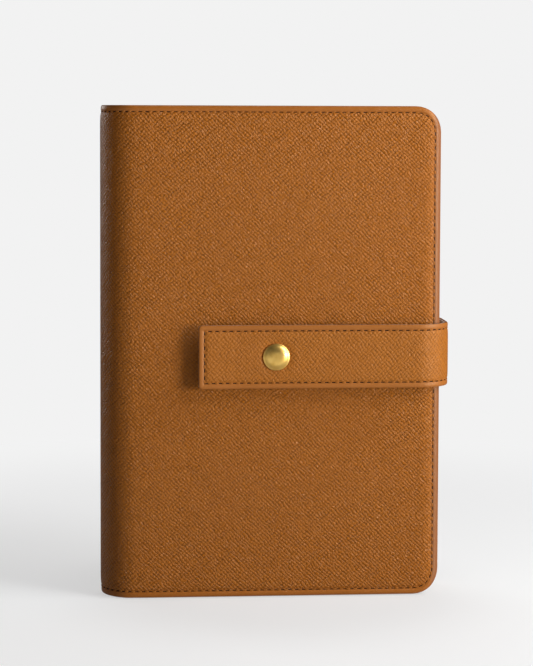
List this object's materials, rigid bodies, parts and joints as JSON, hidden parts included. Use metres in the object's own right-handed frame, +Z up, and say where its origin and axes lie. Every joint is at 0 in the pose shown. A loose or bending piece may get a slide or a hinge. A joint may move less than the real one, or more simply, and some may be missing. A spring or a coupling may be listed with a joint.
{
  "type": "leather notebook cover",
  "caption": "Slip-in leather cover with a soft rounded spine, padded panels and a snap strap round the fore edge, holding a bound notebook.",
  "frame": {"origin": "middle of the object's footprint, on the surface that it stands on", "axes": "+Z up the cover's height, -Y out of the front panel, +X towards the fore edge and the strap, -X towards the spine"},
  "size_m": [0.1627, 0.0407, 0.229],
  "materials": {
    "tan_leather": "semi-gloss crosshatch grain",
    "strap_leather": "semi-gloss crosshatch grain",
    "lining_leather": "matt, fine nap",
    "padding_foam": "matt",
    "stiffener_card": "matt",
    "seam_thread": "twisted, waxed",
    "snap_brass": "polished, lightly worn",
    "spring_steel": "bright",
    "page_paper": "matt",
    "board_cloth": "matt cloth",
    "endpaper_paper": "matt",
    "headband_cloth": "matt"
  },
  "bodies": {
    "back_cover": {"back_leather": "tan_leather", "back_padding": "padding_foam", "back_stiffener": "stiffener_card", "back_lining": "lining_leather", "back_pocket": "tan_leather", "back_stitching": "seam_thread", "strap_tab_leather": "strap_leather", "strap_tab_lining": "lining_leather", "strap_tab_stitching": "seam_thread", "notebook_pages": "page_paper", "notebook_back_board": "board_cloth", "back_endpaper": "endpaper_paper", "headbands": "headband_cloth"},
    "spine": {"spine_leather": "tan_leather", "spine_lining": "lining_leather", "spine_stitching": "seam_thread", "notebook_spine_board": "board_cloth"},
    "front_cover": {"front_leather": "tan_leather", "front_padding": "padding_foam", "front_stiffener": "stiffener_card", "front_lining": "lining_leather", "front_pocket": "tan_leather", "front_stitching": "seam_thread", "notebook_front_board": "board_cloth", "front_endpaper": "endpaper_paper", "snap_stud": "snap_brass", "snap_post": "snap_brass"},
    "strap_side": {"strap_side_leather": "strap_leather", "strap_side_lining": "lining_leather", "strap_side_stitching": "seam_thread"},
    "strap_flap": {"strap_flap_leather": "strap_leather", "strap_flap_lining": "lining_leather", "strap_flap_stitching": "seam_thread", "snap_cap": "snap_brass", "snap_socket": "snap_brass", "snap_spring": "spring_steel"}
  },
  "joints": [
    {"name": "spine_fold", "type": "hinge", "parent": "back_cover", "child": "spine", "pos_m": [-0.07653, 0.01333, 0.1145], "axis": [0, 0, -1], "range_deg": [0, 90]},
    {"name": "front_fold", "type": "hinge", "parent": "spine", "child": "front_cover", "pos_m": [-0.07653, -0.00873, 0.1145], "axis": [0, 0, -1], "range_deg": [0, 90]},
    {"name": "strap_swing", "type": "hinge", "parent": "back_cover", "child": "strap_side", "pos_m": [0.07867, 0.01767, 0.1131], "axis": [0, 0, 1], "range_deg": [0, 90], "deforming": ["strap_side_leather", "strap_side_lining", "strap_side_stitching", "strap_flap_leather", "strap_flap_lining", "strap_flap_stitching", "snap_cap", "snap_socket", "snap_spring"]},
    {"name": "strap_lift", "type": "hinge", "parent": "strap_side", "child": "strap_flap", "pos_m": [0.07735, -0.01475, 0.1131], "axis": [0, 0, 1], "range_deg": [0, 90]}
  ]
}
